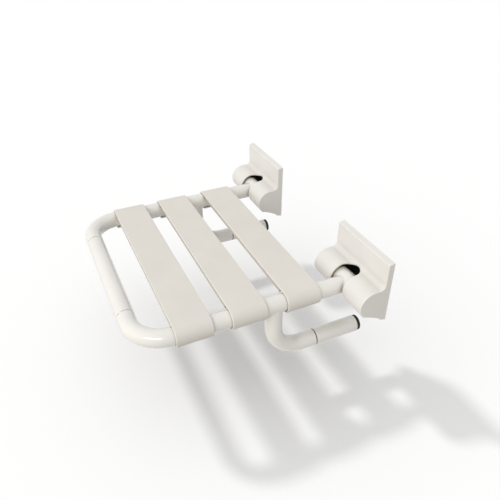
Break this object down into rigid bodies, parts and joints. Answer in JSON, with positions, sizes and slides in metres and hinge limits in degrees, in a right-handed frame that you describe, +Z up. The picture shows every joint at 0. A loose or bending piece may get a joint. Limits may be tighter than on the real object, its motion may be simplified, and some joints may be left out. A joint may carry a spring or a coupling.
{
  "type": "fold-up shower seat",
  "caption": "Wall-mounted fold-up shower seat: a U-shaped nylon-covered tube frame with ribbed slats, hinged in covered wall brackets, with cranked legs that bear on the wall.",
  "frame": {"origin": "on the wall plane, midway between the two wall brackets, at half the brackets' height", "axes": "+X to the right for someone facing the wall, +Y into the wall, +Z up; the seat reaches out along -Y"},
  "size_m": [0.565, 0.4525, 0.2147],
  "materials": {
    "cover_nylon": "smooth moulded nylon, ivory white, satin gloss",
    "tube_nylon": "smooth moulded nylon sleeve, ivory white, gloss",
    "slat_nylon": "moulded nylon, ivory white, fine satin grain",
    "cap_nylon": "moulded nylon, ivory white, gloss",
    "pad_rubber": "black moulded rubber, matte",
    "seal_rubber": "dark grey rubber, matte",
    "bracket_steel": "black electro-coated sheet steel",
    "frame_steel": "zinc-plated welded tube",
    "stainless_steel": "turned stainless steel",
    "bush_plastic": "natural acetal"
  },
  "bodies": {
    "wall": {"wall_bracket_left": "bracket_steel", "wall_bracket_right": "bracket_steel", "bracket_cover_left": "cover_nylon", "bracket_cover_right": "cover_nylon", "hinge_pin_left": "stainless_steel", "hinge_pin_right": "stainless_steel", "pin_circlips": "stainless_steel", "friction_washers": "bush_plastic", "cover_screws": "stainless_steel"},
    "seat": {"core_frame": "frame_steel", "leg_tube_left": "frame_steel", "leg_tube_right": "frame_steel", "front_sleeve": "tube_nylon", "corner_elbow_left": "tube_nylon", "corner_elbow_right": "tube_nylon", "side_tee_left": "tube_nylon", "side_tee_right": "tube_nylon", "hinge_sleeve_left": "tube_nylon", "hinge_sleeve_right": "tube_nylon", "tube_end_plug_left": "tube_nylon", "tube_end_plug_right": "tube_nylon", "pivot_bushes": "bush_plastic", "slat_front": "slat_nylon", "slat_middle": "slat_nylon", "slat_rear": "slat_nylon", "slat_screws": "stainless_steel", "leg_seals": "seal_rubber", "leg_sleeve_left": "tube_nylon", "leg_sleeve_right": "tube_nylon", "leg_end_cap_left": "cap_nylon", "leg_end_cap_right": "cap_nylon", "foot_pad_left": "pad_rubber", "foot_pad_right": "pad_rubber"}
  },
  "joints": [
    {"name": "seat_fold", "type": "hinge", "parent": "wall", "child": "seat", "pos_m": [0, -0.035, -0.021], "axis": [-1, 0, 0], "range_deg": [0, 90]}
  ]
}
